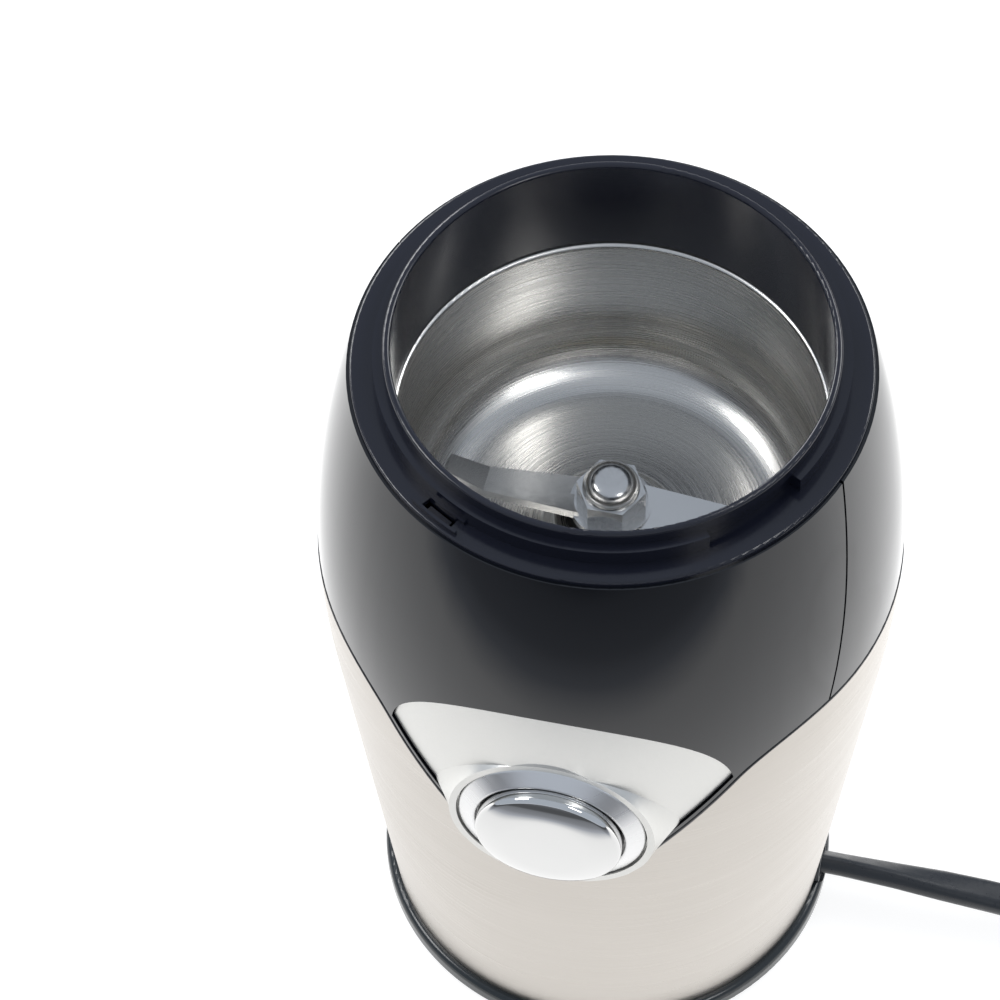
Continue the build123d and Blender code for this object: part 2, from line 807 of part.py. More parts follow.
def grinding_bowl():
    outer = bowl_radius + bowl_wall
    boss_top = bowl_floor + bowl_boss_rise
    points = [
        (bowl_hole_radius, boss_top),
        (bowl_boss_radius, boss_top),
        (bowl_boss_foot_radius, bowl_floor),
        (bowl_radius, bowl_floor),
        (bowl_radius, flange_high),
        (bowl_flange_radius, flange_high),
        (bowl_flange_radius, flange_low),
        (outer, flange_low),
        (outer, bowl_floor - bowl_wall),
        (bowl_boss_foot_radius - bowl_wall / 2, bowl_floor - bowl_wall),
        (bowl_boss_radius - bowl_wall / 2, boss_top - bowl_wall),
        (bowl_hole_radius, boss_top - bowl_wall),
    ]
    corner = bowl_corner_radius
    return turned(points,
                  [0, bowl_wall, bowl_wall, corner, bowl_wall, 0, 0, 0, corner + bowl_wall, 0, 0, 0])


def inner_chassis():
    inner = chassis_radius - chassis_wall
    floor_high = chassis_floor_low + chassis_floor_thickness
    points = [
        (chassis_hole_radius, chassis_floor_low),
        (chassis_radius, chassis_floor_low),
        (chassis_radius, chassis_flange_low),
        (chassis_flange_radius, chassis_flange_low),
        (chassis_flange_radius, flange_low),
        (inner, flange_low),
        (inner, floor_high),
        (chassis_hole_radius, floor_high),
    ]
    frame = turned(points, 0)
    for x, y in column_places:
        frame += upright(column_radius, base_flange_top,
                         chassis_floor_low + chassis_floor_thickness / 2, x, y)
        frame -= upright(base_screw_radius + running_gap, base_flange_top - overrun,
                         base_plate_low + base_screw_length + overrun, x, y)
    slot = SlotOverall(chassis_vent_length, chassis_vent_width)
    for k in range(chassis_vent_count):
        place = Rot(0, 0, 360 * k / chassis_vent_count) * Pos(chassis_vent_circle_radius, 0,
                                                              chassis_floor_low - overrun)
        frame -= place * Rot(0, 0, 90) * extrude(slot, amount=chassis_floor_thickness + 2 * overrun)
    for x, y in damper_places:
        frame -= upright(motor_screw_radius + seat_gap, chassis_floor_low - overrun,
                         floor_high + overrun, x, y)
    for x, y in chassis_screw_places:
        frame -= upright(chassis_screw_radius + seat_gap, chassis_flange_low - overrun,
                         flange_low + overrun, x, y)
    half = carrier_width / 2 + seat_gap
    frame -= block((-half, -chassis_radius - overrun, chassis_floor_low - overrun),
                   (half, carrier_back + carrier_screw_head_height + slide_gap,
                    button_height + carrier_height / 2 + slide_gap))
    frame += sector(inner, interlock_shelf_radius, interlock_switch_low - interlock_shelf_thickness,
                    interlock_switch_low, slot_middle, interlock_shelf_angle)
    return frame - sector(slot_inner_radius, slot_outer_radius, chassis_flange_low - overrun,
                          flange_low + overrun, slot_middle, slot_angle)


def chassis_screws():
    screws = Part()
    for x, y in chassis_screw_places:
        screws += upright(chassis_screw_head_radius, flange_low, flange_low + chassis_screw_head_height,
                          x, y)
        screws += upright(chassis_screw_radius, flange_low - chassis_screw_length, flange_low, x, y)
    return screws


def interlock_pin():
    bar = block((pin_inner_radius, -pin_width / 2, pin_shoulder_height),
                (pin_outer_radius, pin_width / 2, rim_height - pin_top_drop))
    low = pin_shoulder_height - pin_stem_length
    return Rot(0, 0,
               slot_middle) * (bar + upright(pin_stem_radius, low,
                                             pin_shoulder_height + pin_stem_radius / 2, pin_radius))


def interlock_switch():
    body = block((interlock_switch_inner, -interlock_switch_width / 2, interlock_switch_low),
                 (interlock_switch_inner + interlock_switch_depth, interlock_switch_width / 2,
                  interlock_switch_high))
    low = pin_shoulder_height - pin_stem_length - pin_travel - pin_stem_radius
    return Rot(0, 0,
               slot_middle) * (body - upright(pin_stem_radius + slide_gap, low,
                                              interlock_switch_high + overrun, pin_radius))


def interlock_spring():
    coil = spring(interlock_spring_radius, interlock_spring_wire_radius, interlock_switch_high + seat_gap,
                  pin_shoulder_height - seat_gap, interlock_spring_half_turns)
    return Rot(0, 0, slot_middle) * Pos(pin_radius, 0) * coil


def blade_wing():
    """One wing along +X: pitched about its length, its tip bent up."""
    root = blade_hub_radius / 2
    flat_end = blade_reach - blade_tip_length
    flat = [(root, -blade_root_width / 2), (flat_end, -blade_tip_width / 2),
            (flat_end, blade_tip_width / 2),
            (root, blade_root_width / 2)]
    wing = extrude(make_face(Polyline(*flat, close=True)), amount=blade_thickness)
    end = [(0, -blade_tip_width / 2), (blade_tip_length, -blade_tip_width / 4),
           (blade_tip_length, blade_tip_width / 2),
           (0, blade_tip_width / 2)]
    tip = extrude(make_face(Polyline(*end, close=True)), amount=blade_thickness)
    wing += Pos(flat_end, 0, 0) * Rot(0, -blade_tip_bend_angle, 0) * tip
    return Rot(blade_pitch_angle, 0, 0) * wing


def blade():
    plate = Pos(0, 0, blade_thickness / 2) * Cylinder(blade_hub_radius, blade_thickness)
    for turn in (0, 180):
        plate += Rot(0, 0, turn) * blade_wing()
    hub = upright(blade_hub_radius * 2, -overrun, 0) + upright(blade_hub_radius * 2, blade_thickness,
                                                               overrun)
    plate -= hub & upright(nut_radius + slide_gap, -overrun, overrun)
    plate = Pos(0, 0, blade_height) * plate
    return plate - upright(shaft_radius + running_gap, 0, lip_top)


def blade_nut():
    low = blade_height + blade_thickness
    dome_low = low + nut_hex_height
    hexagon = Pos(0, 0, low) * extrude(RegularPolygon(nut_radius, 6), amount=nut_hex_height)
    cap = turned([(0, low), (nut_dome_radius, low), (nut_dome_radius, dome_low + nut_dome_height),
                  (0, dome_low + nut_dome_height)], [0, 0, nut_dome_height, 0])
    return hexagon + cap - upright(shaft_radius + running_gap, low - overrun, shaft_high + seat_gap)


def blade_spacer():
    return ring(shaft_radius + running_gap, spacer_radius, blade_height - spacer_height, blade_height)


def shaft_seal():
    top = bowl_floor + bowl_boss_rise - seal_top_drop
    low = top - seal_height
    flange_top = bowl_floor + bowl_boss_rise - bowl_wall - seat_gap
    return turned(
        [
            (shaft_radius + running_gap, low),
            (seal_flange_radius, low),
            (seal_flange_radius, flange_top),
            (seal_radius, flange_top),
            (seal_radius, top),
            (shaft_radius + running_gap, top),
        ],
        0,
    )


def drive_shaft():
    end = shaft_radius / 6
    return chamfer(upright(shaft_radius, shaft_low, shaft_high).edges().filter_by(GeomType.CIRCLE), end)


def armature_core():
    core = ring(shaft_radius + running_gap, armature_radius, stack_low, stack_high)
    for k in range(armature_slot_count):
        slot = block((armature_radius - armature_slot_depth, -armature_slot_width / 2, stack_low - overrun),
                     (armature_radius + overrun, armature_slot_width / 2, stack_high + overrun))
        core -= Rot(0, 0, 360 * k / armature_slot_count) * slot
    return core


def armature_windings():
    bells = Part()
    for low in (stack_low - winding_height, stack_high):
        points = [(shaft_radius + running_gap, low), (winding_radius, low),
                  (winding_radius, low + winding_height),
                  (shaft_radius + running_gap, low + winding_height)]
        bells += turned(points, [0, winding_rounding, winding_rounding, 0])
    return bells


def commutator():
    body = ring(shaft_radius + running_gap, commutator_radius, commutator_low, commutator_high)
    for k in range(commutator_bar_count):
        slot = block((commutator_radius - commutator_slot_depth, -commutator_slot_width / 2,
                      commutator_low - overrun),
                     (commutator_radius + overrun, commutator_slot_width / 2, commutator_high + overrun))
        body -= Rot(0, 0, 360 * k / commutator_bar_count) * slot
    return body


def field_loop(side, clearance):
    """One field coil: a rounded loop round its pole."""
    width = field_coil_width + 2 * clearance
    height = field_coil_height + 2 * clearance
    inner_width = field_coil_width - 2 * field_coil_section - 2 * clearance
    inner_height = field_coil_height - 2 * field_coil_section - 2 * clearance
    face = RectangleRounded(width, height, field_coil_corner_radius)
    face -= RectangleRounded(inner_width, inner_height, field_coil_corner_radius / 2)
    depth = field_coil_thickness + 2 * clearance
    loop = extrude(Plane.XZ * face, amount=depth / 2, both=True)
    return Pos(0, side * field_coil_middle, (stack_low + stack_high) / 2) * loop


def field_coils():
    return field_loop(-1, 0) + field_loop(1, 0)


def stator_core():
    stack = ring(stator_bore_radius, stator_radius, stack_low, stack_high)
    stack &= block((-stator_radius, -stator_half_depth, stack_low),
                   (stator_radius, stator_half_depth, stack_high))
    for side in (-1, 1):
        stack -= field_loop(side, slide_gap)
    return stack


def upper_bracket():
    inner = stator_radius - bracket_leg_thickness
    plate_low = bracket_high - bracket_plate_thickness
    bridge = block((-stator_radius, -bracket_half_depth, plate_low),
                   (stator_radius, bracket_half_depth, bracket_high))
    for x in (-stator_radius, inner):
        bridge += block((x, -bracket_half_depth, stack_high),
                        (x + bracket_leg_thickness, bracket_half_depth, bracket_high))
    bridge += upright(bearing_boss_radius, upper_bearing_low, bracket_high)
    bridge -= upright(bearing_radius + running_gap, upper_bearing_low - overrun, bracket_high + overrun)
    for x, y in damper_places:
        bridge -= upright(motor_screw_radius + seat_gap, plate_low - overrun, bracket_high + overrun, x, y)
    return bridge


def upper_bearing():
    return ring(shaft_radius + running_gap, bearing_radius, upper_bearing_low, bracket_high)


def lower_bracket():
    inner = stator_radius - bracket_leg_thickness
    high = lower_bracket_low + lower_bracket_height
    frame = upright(stator_radius, lower_bracket_low, high)
    for x, y in around(lower_vent_circle_radius, lower_vent_count, 180 / lower_vent_count):
        frame -= upright(lower_vent_radius, lower_bracket_low - overrun, high + overrun, x, y)
    leg = block((inner, -bracket_half_depth, lower_bracket_low),
                (stator_radius, bracket_half_depth, stack_low))
    leg &= upright(stator_radius, lower_bracket_low, stack_low)
    frame += leg + Rot(0, 0, 180) * leg
    frame += upright(bearing_boss_radius, lower_bracket_low, lower_bracket_low + lower_boss_height)
    return frame - upright(bearing_radius + running_gap, lower_bracket_low - overrun, stack_low)


def lower_bearing():
    return ring(shaft_radius + running_gap, bearing_radius, lower_bracket_low,
                lower_bracket_low + lower_boss_height)


def brush_holders():
    holders = Part()
    low = lower_bracket_low + lower_bracket_height
    middle = (commutator_low + commutator_high) / 2
    half = brush_holder_width / 2
    hole = half - brush_holder_wall
    for turn in (0, 180):
        box = block((-half, brush_holder_inner, low), (half, brush_holder_outer, middle + half))
        box -= block((-hole, brush_holder_inner - overrun, middle - hole),
                     (hole, brush_holder_outer - brush_holder_wall, middle + hole))
        holders += Rot(0, 0, turn) * box
    return holders


def carbon_brushes():
    brushes = Part()
    middle = (commutator_low + commutator_high) / 2
    half = brush_holder_width / 2 - brush_holder_wall - seat_gap
    start = commutator_radius + brush_gap
    for turn in (0, 180):
        brushes += Rot(0, 0, turn) * block((-half, start, middle - half),
                                           (half, start + brush_length, middle + half))
    return brushes


def motor_dampers():
    pads = Part()
    for x, y in damper_places:
        pad = upright(damper_radius, bracket_high, chassis_floor_low, x, y)
        pads += pad - upright(motor_screw_radius + seat_gap, bracket_high - overrun,
                              chassis_floor_low + overrun, x, y)
    return pads


def motor_screws():
    screws = Part()
    high = chassis_floor_low + chassis_floor_thickness
    for x, y in damper_places:
        screws += upright(motor_screw_head_radius, high, high + motor_screw_head_height, x, y)
        screws += upright(motor_screw_radius, bracket_high - bracket_plate_thickness, high, x, y)
    return screws


def base_ring():
    points = [
        (base_plate_radius + seat_gap, base_ring_low),
        (base_ring_radius, base_ring_low),
        (base_ring_radius, sleeve_foot_height),
        (base_upstand_outer, sleeve_foot_height),
        (base_upstand_outer, base_upstand_top),
        (base_upstand_inner, base_upstand_top),
        (base_upstand_inner, base_flange_top),
        (base_flange_radius, base_flange_top),
        (base_flange_radius, base_plate_top),
        (base_plate_radius + seat_gap, base_plate_top),
    ]
    small = base_edge_rounding
    foot = turned(points, [0, small, base_ring_rounding, 0, small, small, 0, small, 0, 0])
    for x, y in column_places:
        foot -= upright(base_screw_radius + seat_gap, base_plate_low, base_flange_top + overrun, x, y)
    return foot - cord_way(grommet_radius + seat_gap)


def base_plate():
    plate = upright(base_plate_radius, base_plate_low, base_plate_top)
    for side in (-1, 1):
        y = side * clamp_screw_spacing / 2
        plate += upright(clamp_boss_radius, base_plate_low, clamp_boss_top, clamp_middle, y)
        plate -= upright(clamp_screw_radius + running_gap, base_plate_top, clamp_boss_top + overrun,
                         clamp_middle, y)
    for x, y in column_places:
        plate -= upright(base_screw_radius + seat_gap, 0, base_plate_top + overrun, x, y)
        plate -= upright(base_screw_head_radius + seat_gap, 0, base_plate_low + base_screw_head_height,
                         x, y)
    for x, y in around(foot_circle_radius, foot_count, foot_first_angle):
        plate -= upright(foot_radius + seat_gap, 0, foot_height, x, y)
    slot = SlotOverall(base_vent_length, base_vent_width)
    for k in range(base_vent_count):
        place = Rot(0, 0, 360 * k / base_vent_count) * Pos(base_vent_circle_radius, 0, 0)
        plate -= place * extrude(slot, amount=base_plate_top + overrun)
    return plate


def rubber_feet():
    feet = Part()
    for x, y in around(foot_circle_radius, foot_count, foot_first_angle):
        pad = upright(foot_radius, 0, foot_height, x, y)
        feet += fillet(pad.edges().group_by(Axis.Z)[0], foot_edge_rounding)
    return feet


def base_screws():
    screws = Part()
    head_top = base_plate_low + base_screw_head_height
    for x, y in column_places:
        screws += upright(base_screw_head_radius, base_plate_low, head_top, x, y)
        screws += upright(base_screw_radius, head_top, base_plate_low + base_screw_length, x, y)
    return screws


def cord_grommet():
    bush = along_x(grommet_radius, grommet_inner_end, grommet_outer_end, 0, cord_exit_height)
    return bush - along_x(cord_radius + seat_gap, grommet_inner_end - overrun,
                          grommet_outer_end + overrun, 0, cord_exit_height)


def cord_clamp():
    bar = block((clamp_middle - clamp_length / 2, -clamp_width / 2, clamp_boss_top),
                (clamp_middle + clamp_length / 2, clamp_width / 2, clamp_boss_top + clamp_height))
    bar -= along_x(cord_radius + seat_gap, clamp_middle - clamp_length, clamp_middle + clamp_length, 0,
                   cord_exit_height)
    for side in (-1, 1):
        bar -= upright(clamp_screw_radius + seat_gap, 0, rim_height, clamp_middle,
                       side * clamp_screw_spacing / 2)
    return bar


def clamp_screws():
    screws = Part()
    high = clamp_boss_top + clamp_height
    for side in (-1, 1):
        y = side * clamp_screw_spacing / 2
        screws += upright(clamp_screw_head_radius, high, high + clamp_screw_head_height, clamp_middle, y)
        screws += upright(clamp_screw_radius, base_plate_top + seat_gap, high, clamp_middle, y)
    return screws


def laid_tube(route, name):
    """Cord along a route of straight runs joined by arcs as large as the runs allow."""
    points = [Vector(p) for p in route]
    radii = []
    for before, here, after in zip(points, points[1:], points[2:]):
        turn = math.radians((here - before).get_angle(after - here))
        shorter = min((here - before).length, (after - here).length)
        radii.append(bend_run_share * shorter / math.tan(turn / 2))
    path = FilletPolyline(*points, radius=radii)
    solid = tube(path, cord_radius)
    print(name, "points", [tuple(round(c, 2) for c in p) for p in route])
    print(name, "radii", [round(r, 1) for r in radii], "length", round(path.length, 1),
          "volume share", round(solid.volume / (math.pi * cord_radius**2 * path.length), 5))
    return solid


def cord_lead():
    return laid_tube(cord_route, "cord_lead")


def cord_tail():
    return laid_tube(tail_route, "cord_tail")


def coil_path():
    """Two layers of turns: in on the floor, up in one half turn, out again on top."""
    run = Vector(2 * cord_radius, 0, 0)
    places = []
    for k, steps in enumerate(coil_turn_steps):
        side = -1 if k % 2 == 0 else 1
        height = coil_low if k <= coil_floor_half_turns else coil_high
        places.append(Vector(coil_middle_x, side * (coil_outer_radius - steps * coil_step), height))
    edges = [Line(places[0] - run, places[0])]
    for k in range(len(places) - 1):
        heading = Vector(1 if k % 2 == 0 else -1, 0, 0)
        edges += half_turn(places[k], places[k + 1], heading)
    edges.append(Line(places[-1], places[-1] + run * tail_heading))
    return edges


def least_gap(edges, samples):
    """Least clear gap between stretches of one tube, measured on points of its middle line."""
    points = [e @ (k / samples) for e in edges for k in range(samples)]
    steps = [(b - a).length for a, b in zip(points, points[1:])]
    along = [sum(steps[:k]) for k in range(len(points))]
    apart = math.pi * coil_outer_radius / 2
    least = min(
        (points[i] - points[j]).length
        for i in range(len(points))
        for j in range(i)
        if along[i] - along[j] > apart
    )
    return least - 2 * cord_radius


def cord_coil():
    edges = coil_path()
    path = Wire(edges)
    solid = tube(path, cord_radius)
    print("cord_coil least gap", round(least_gap(edges, 16), 2), "length", round(path.length, 1),
          "volume share", round(solid.volume / (math.pi * cord_radius**2 * path.length), 5))
    return solid


def cord_tie():
    turns = [coil_outer_radius - steps * coil_step for steps in coil_turn_steps[1::2]]
    inner_turn = min(turns) - cord_radius
    outer_turn = max(turns) + cord_radius
    low = (coil_middle_x, inner_turn - tie_side_gap, coil_low - cord_radius - tie_gap)
    high = (coil_middle_x, outer_turn + tie_gap, coil_high + cord_radius + tie_gap)
    width = high[1] - low[1]
    height = high[2] - low[2]
    band = RectangleRounded(width + 2 * tie_wall, height + 2 * tie_wall, cord_radius)
    band -= RectangleRounded(width, height, cord_radius - tie_wall)
    loop = extrude(Plane.YZ * band, amount=tie_width / 2, both=True)
    return Pos(coil_middle_x, (low[1] + high[1]) / 2, (low[2] + high[2]) / 2) * loop


def beside_tail(shape):
    """Sets a piece drawn along +X from the origin on the end of the tail."""
    return Pos(*tail_route[-1]) * Rot(0, 0, 0 if tail_heading > 0 else 180) * shape


def mains_plug():
    shoulder = plug_neck_length + (plug_length - plug_neck_length) / 2
    half = [(plug_neck_length - plug_rounding, plug_waist_half_width), (shoulder, plug_half_width),
            (plug_length, plug_face_half_width)]
    points = half + [(x, -w) for x, w in reversed(half)]
    outline = FilletPolyline(*points, radius=[0, plug_rounding, 0, 0, plug_rounding, 0], close=True)
    body = extrude(make_face(outline), amount=plug_half_height, both=True)
    body = fillet(body.edges().group_by(Axis.Z)[-1] + body.edges().group_by(Axis.Z)[0], plug_rounding / 2)
    return beside_tail(body + along_x(plug_neck_radius, 0, plug_neck_length, 0, 0))


def plug_pins():
    pins = Part()
    for side in (-1, 1):
        pin = along_x(plug_pin_radius, plug_length, plug_length + plug_pin_length,
                      side * plug_pin_spacing / 2, 0)
        pins += fillet(pin.edges().group_by(Axis.X)[-1], plug_pin_radius / 2)
    return beside_tail(pins)


housing = upper_housing()
nodes = {
    "upper_housing_front": housing & seam_side(0),
    "upper_housing_rear": housing - seam_side(seam_gap),
}
makers = [
    steel_body, switch_panel, button_bezel, power_button, button_spring, switch_carrier, carrier_screws,
    power_switch, switch_plunger, collar_ring, bowl_gasket, grinding_bowl, inner_chassis, chassis_screws,
    interlock_pin, interlock_switch, interlock_spring, blade, blade_nut, blade_spacer, shaft_seal, drive_shaft,
    armature_core, armature_windings, commutator, field_coils, stator_core, upper_bracket, upper_bearing,
    lower_bracket, lower_bearing, brush_holders, carbon_brushes, motor_dampers, motor_screws, base_ring,
    base_plate, rubber_feet, base_screws, cord_grommet, cord_clamp, clamp_screws, cord_lead, cord_coil,
    cord_tail, cord_tie, mains_plug, plug_pins,
]
for maker in makers:
    nodes[maker.__name__] = maker()

os.makedirs("parts", exist_ok=True)
for name, shape in nodes.items():
    export_step(shape, f"parts/{name}.step")
    print(name, len(shape.solids()), "solids", round(shape.volume, 1))
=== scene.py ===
import bpy
import math
from mathutils import Matrix, Vector
from mathutils.bvhtree import BVHTree


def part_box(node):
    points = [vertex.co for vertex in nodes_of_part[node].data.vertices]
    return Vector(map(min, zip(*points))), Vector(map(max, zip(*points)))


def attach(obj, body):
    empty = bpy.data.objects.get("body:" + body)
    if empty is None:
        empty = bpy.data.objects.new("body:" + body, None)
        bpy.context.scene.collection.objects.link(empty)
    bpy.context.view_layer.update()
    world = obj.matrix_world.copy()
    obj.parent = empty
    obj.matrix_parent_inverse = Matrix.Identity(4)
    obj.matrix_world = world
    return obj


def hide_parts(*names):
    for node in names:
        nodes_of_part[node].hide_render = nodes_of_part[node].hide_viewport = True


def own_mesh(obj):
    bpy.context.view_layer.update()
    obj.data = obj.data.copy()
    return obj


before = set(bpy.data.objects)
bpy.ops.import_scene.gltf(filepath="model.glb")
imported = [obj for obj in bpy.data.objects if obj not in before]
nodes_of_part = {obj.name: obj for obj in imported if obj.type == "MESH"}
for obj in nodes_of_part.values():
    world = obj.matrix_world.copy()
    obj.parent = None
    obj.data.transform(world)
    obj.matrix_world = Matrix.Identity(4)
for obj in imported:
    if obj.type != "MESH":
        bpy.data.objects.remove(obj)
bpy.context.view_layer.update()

# Camera: a long lens above and in front of the grinder, a little to its right,
# looking down on the open bowl with the foot just at the lower edge.
camera_data = bpy.data.cameras.new("camera")
camera_data.sensor_width = 36.0
camera_data.lens = 216.0
camera_data.clip_end = 20.0
camera = bpy.data.objects.new("camera", camera_data)
bpy.context.scene.collection.objects.link(camera)
camera_turn = Matrix.Rotation(math.radians(11.2), 3, "Z")
camera_right = camera_turn @ Vector((0.99977724, 0.01878604, -0.00962011))
camera_up = camera_turn @ Vector((-0.01015382, 0.82769997, 0.56107902))
camera_back = camera_turn @ Vector((0.01850302, -0.56085636, 0.82770634))
camera_place = camera_turn @ Vector((0.0, -0.533205, 0.891375))
camera.matrix_world = Matrix((
    (camera_right.x, camera_up.x, camera_back.x, camera_place.x),
    (camera_right.y, camera_up.y, camera_back.y, camera_place.y),
    (camera_right.z, camera_up.z, camera_back.z, camera_place.z),
    (0, 0, 0, 1),
))
bpy.context.scene.camera = camera
bpy.context.scene.view_settings.view_transform = "Standard"

# Mains cord: a flat two-core lead in black PVC. It leaves the foot half on its edge,
# lies down flat on the table, and its spare length is wound into a tied coil beside the plug.
cord_width, cord_thickness = 0.0056, 0.0037
lead_points = [
    (0.0195, 0, 0.0063), (0.0548, 0, 0.0062), (0.0902, -0.0006, 0.0022), (0.10651, -0.00861, 0.0022),
    (0.12228, -0.02639, 0.0025), (0.13859, -0.034, 0.0032), (0.15659, -0.034, 0.0035),
]
coil_middle = 0.16219
coil_low, coil_high = 0.00375, 0.00985
low_half_turns = 3
coil_radii = [0.034, 0.03095, 0.0279, 0.02485, 0.02058, 0.0279, 0.03095, 0.034]
coil_heights = [coil_low if k <= low_half_turns else coil_high for k in range(len(coil_radii))]
points_per_half_turn = 12
coil_points = []
for half_turn in range(len(coil_radii) - 1):
    side = 1 if half_turn % 2 == 0 else -1
    start, end = coil_radii[half_turn:half_turn + 2]
    start_z, end_z = coil_heights[half_turn:half_turn + 2]
    radius = (start + end) / 2
    middle_y = side * (end - start) / 2
    for step in range(points_per_half_turn):
        angle = math.pi * (step / points_per_half_turn)
        ease = (1 - math.cos(angle)) / 2
        coil_points.append((
            coil_middle + side * radius * math.sin(angle),
            middle_y - side * radius * math.cos(angle),
            start_z + (end_z - start_z) * ease,
        ))
coil_points.append((coil_middle, coil_radii[-1], coil_high))
tail_points = [
    (0.15659, 0.034, 0.00985), (0.14659, 0.034, 0.00985),
    (0.13559, 0.034, 0.00685), (0.12619, 0.034, 0.00685),
]
route = lead_points + coil_points + tail_points
line_data = bpy.data.curves.new("cord_line", "CURVE")
line_data.dimensions = "3D"
line_data.resolution_u = 6
spline = line_data.splines.new("NURBS")
spline.points.add(len(route) - 1)
for point, where in zip(spline.points, route):
    point.co = (*where, 1)
spline.order_u = 3
spline.use_endpoint_u = True
line = bpy.data.objects.new("cord_line", line_data)
line_mesh = bpy.data.meshes.new_from_object(line)
path = [v.co.copy() for v in line_mesh.vertices]
bpy.data.meshes.remove(line_mesh)
bpy.data.objects.remove(line)
bpy.data.curves.remove(line_data)


def ring_piece(name, rings, closed=False):
    """Smooth tube through rings of points, with its ends capped or closed on itself."""
    sides = len(rings[0])
    faces = []
    for k in range(len(rings) if closed else len(rings) - 1):
        here, ahead = k * sides, (k + 1) % len(rings) * sides
        for j in range(sides):
            i = (j + 1) % sides
            faces.append((here + j, here + i, ahead + i, ahead + j))
    if not closed:
        last = (len(rings) - 1) * sides
        faces.append(tuple(reversed(range(sides))))
        faces.append(tuple(range(last, last + sides)))
    mesh = bpy.data.meshes.new(name)
    mesh.from_pydata([point for ring in rings for point in ring], [], faces)
    mesh.shade_smooth()
    piece = bpy.data.objects.new(name, mesh)
    bpy.context.scene.collection.objects.link(piece)
    return piece


def share_between(value, start, end):
    """How far a value has come from start to end, from 0 to 1."""
    return min(max((value - start) / (end - start), 0), 1)


# Section of the lead: two round cores under one sheath, with a shallow groove between them.
# It turns from half on its edge to flat, and onto its edge before the coil.
section_steps = 20
groove_depth_share, groove_sharpness = 0.13, 6
width_power, thickness_power = 0.8, 0.7
section = []
for step in range(section_steps):
    angle = 2 * math.pi * step / section_steps
    cosine, sine = math.cos(angle), math.sin(angle)
    waist = 1 - groove_depth_share * abs(sine) ** groove_sharpness
    wide = cord_width / 2 * math.copysign(abs(cosine) ** width_power, cosine)
    thick = cord_thickness / 2 * math.copysign(abs(sine) ** thickness_power, sine) * waist
    section.append((wide, thick))
tilted_until, flat_from, flat_until, on_edge_from = 0.026, 0.052, 0.106, 0.140
lying_at_exit = 0.5
cord_rings = []
along = 0.0
for k, here in enumerate(path):
    ahead = path[min(k + 1, len(path) - 1)]
    behind = path[max(k - 1, 0)]
    along += (here - behind).length
    heading = (ahead - behind).normalized()
    across = heading.cross(Vector((0, 0, 1))).normalized()
    above = across.cross(heading)
    if along < flat_until:
        lying = lying_at_exit + (1 - lying_at_exit) * share_between(along, tilted_until, flat_from)
    else:
        lying = 1 - share_between(along, flat_until, on_edge_from)
    tilt = math.pi / 2 * (1 - lying * lying * (3 - 2 * lying))
    cosine, sine = math.cos(tilt), math.sin(tilt)
    cord_rings.append([
        here + across * (wide * cosine - thick * sine) + above * (wide * sine + thick * cosine)
        for wide, thick in section
    ])
mains_cord = ring_piece("mains_cord", cord_rings)


def skin_group(name):
    """New node group of a skin: its tree, Scale input, output node and object coordinates."""
    tree = bpy.data.node_groups.new(name, "ShaderNodeTree")
    tree.interface.new_socket("Scale", in_out="INPUT", socket_type="NodeSocketFloat")
    tree.interface.new_socket("Grain", in_out="OUTPUT", socket_type="NodeSocketFloat")
    tree.interface.new_socket("Mottle", in_out="OUTPUT", socket_type="NodeSocketFloat")
    scale = tree.nodes.new("NodeGroupInput").outputs["Scale"]
    leave = tree.nodes.new("NodeGroupOutput")
    where = tree.nodes.new("ShaderNodeTexCoord").outputs["Object"]
    return tree, scale, leave, where


def noise(tree, vector, detail):
    """Noise texture node on a vector."""
    node = tree.nodes.new("ShaderNodeTexNoise")
    node.inputs["Detail"].default_value = detail
    tree.links.new(vector, node.inputs["Vector"])
    return node


def moulded_skin():
    """Node group of moulded plastic and rubber: a fine pebble and a broad mottle."""
    tree, scale, leave, where = skin_group("moulded_skin")
    pebble = noise(tree, where, detail=3.0)
    tree.links.new(scale, pebble.inputs["Scale"])
    mottle = noise(tree, where, detail=5.0)
    mottle.inputs["Scale"].default_value = 45.0
    tree.links.new(pebble.outputs["Fac"], leave.inputs["Grain"])
    tree.links.new(mottle.outputs["Fac"], leave.inputs["Mottle"])
    return tree


